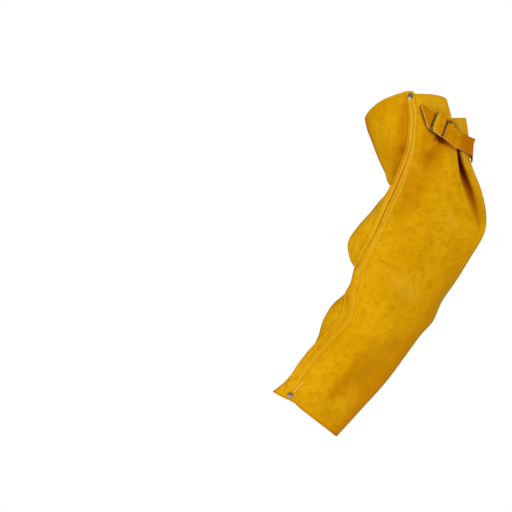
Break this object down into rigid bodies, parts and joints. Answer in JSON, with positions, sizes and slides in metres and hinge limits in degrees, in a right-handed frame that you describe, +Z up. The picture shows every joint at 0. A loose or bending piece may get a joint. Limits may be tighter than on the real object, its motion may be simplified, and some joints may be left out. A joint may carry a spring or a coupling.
{
  "type": "leather welding sleeve",
  "caption": "Leather welding sleeve in its bent, worn form, open at the upper arm and the cuff, with a topstitched seam, riveted seam ends and a buckled strap that gathers the top.",
  "frame": {"origin": "middle of the upper-arm opening", "axes": "+Z up along the upper arm towards the shoulder, +Y from the sleeve's front to its back, +X to the outer side of the bent arm"},
  "size_m": [0.3416, 0.1317, 0.552],
  "materials": {
    "sleeve_leather": "napped golden split leather, matt",
    "strap_leather": "smoother golden leather, low sheen",
    "rivet_metal": "dull nickel plate",
    "wire_metal": "nickel-plated steel wire"
  },
  "bodies": {
    "root": {"sleeve_body": "sleeve_leather", "top_rivet": "rivet_metal", "cuff_rivet": "rivet_metal", "strap": "strap_leather", "slide_buckle": "wire_metal", "buckle_tab": "strap_leather", "strap_ring": "wire_metal", "ring_tab": "strap_leather"}
  },
  "joints": []
}
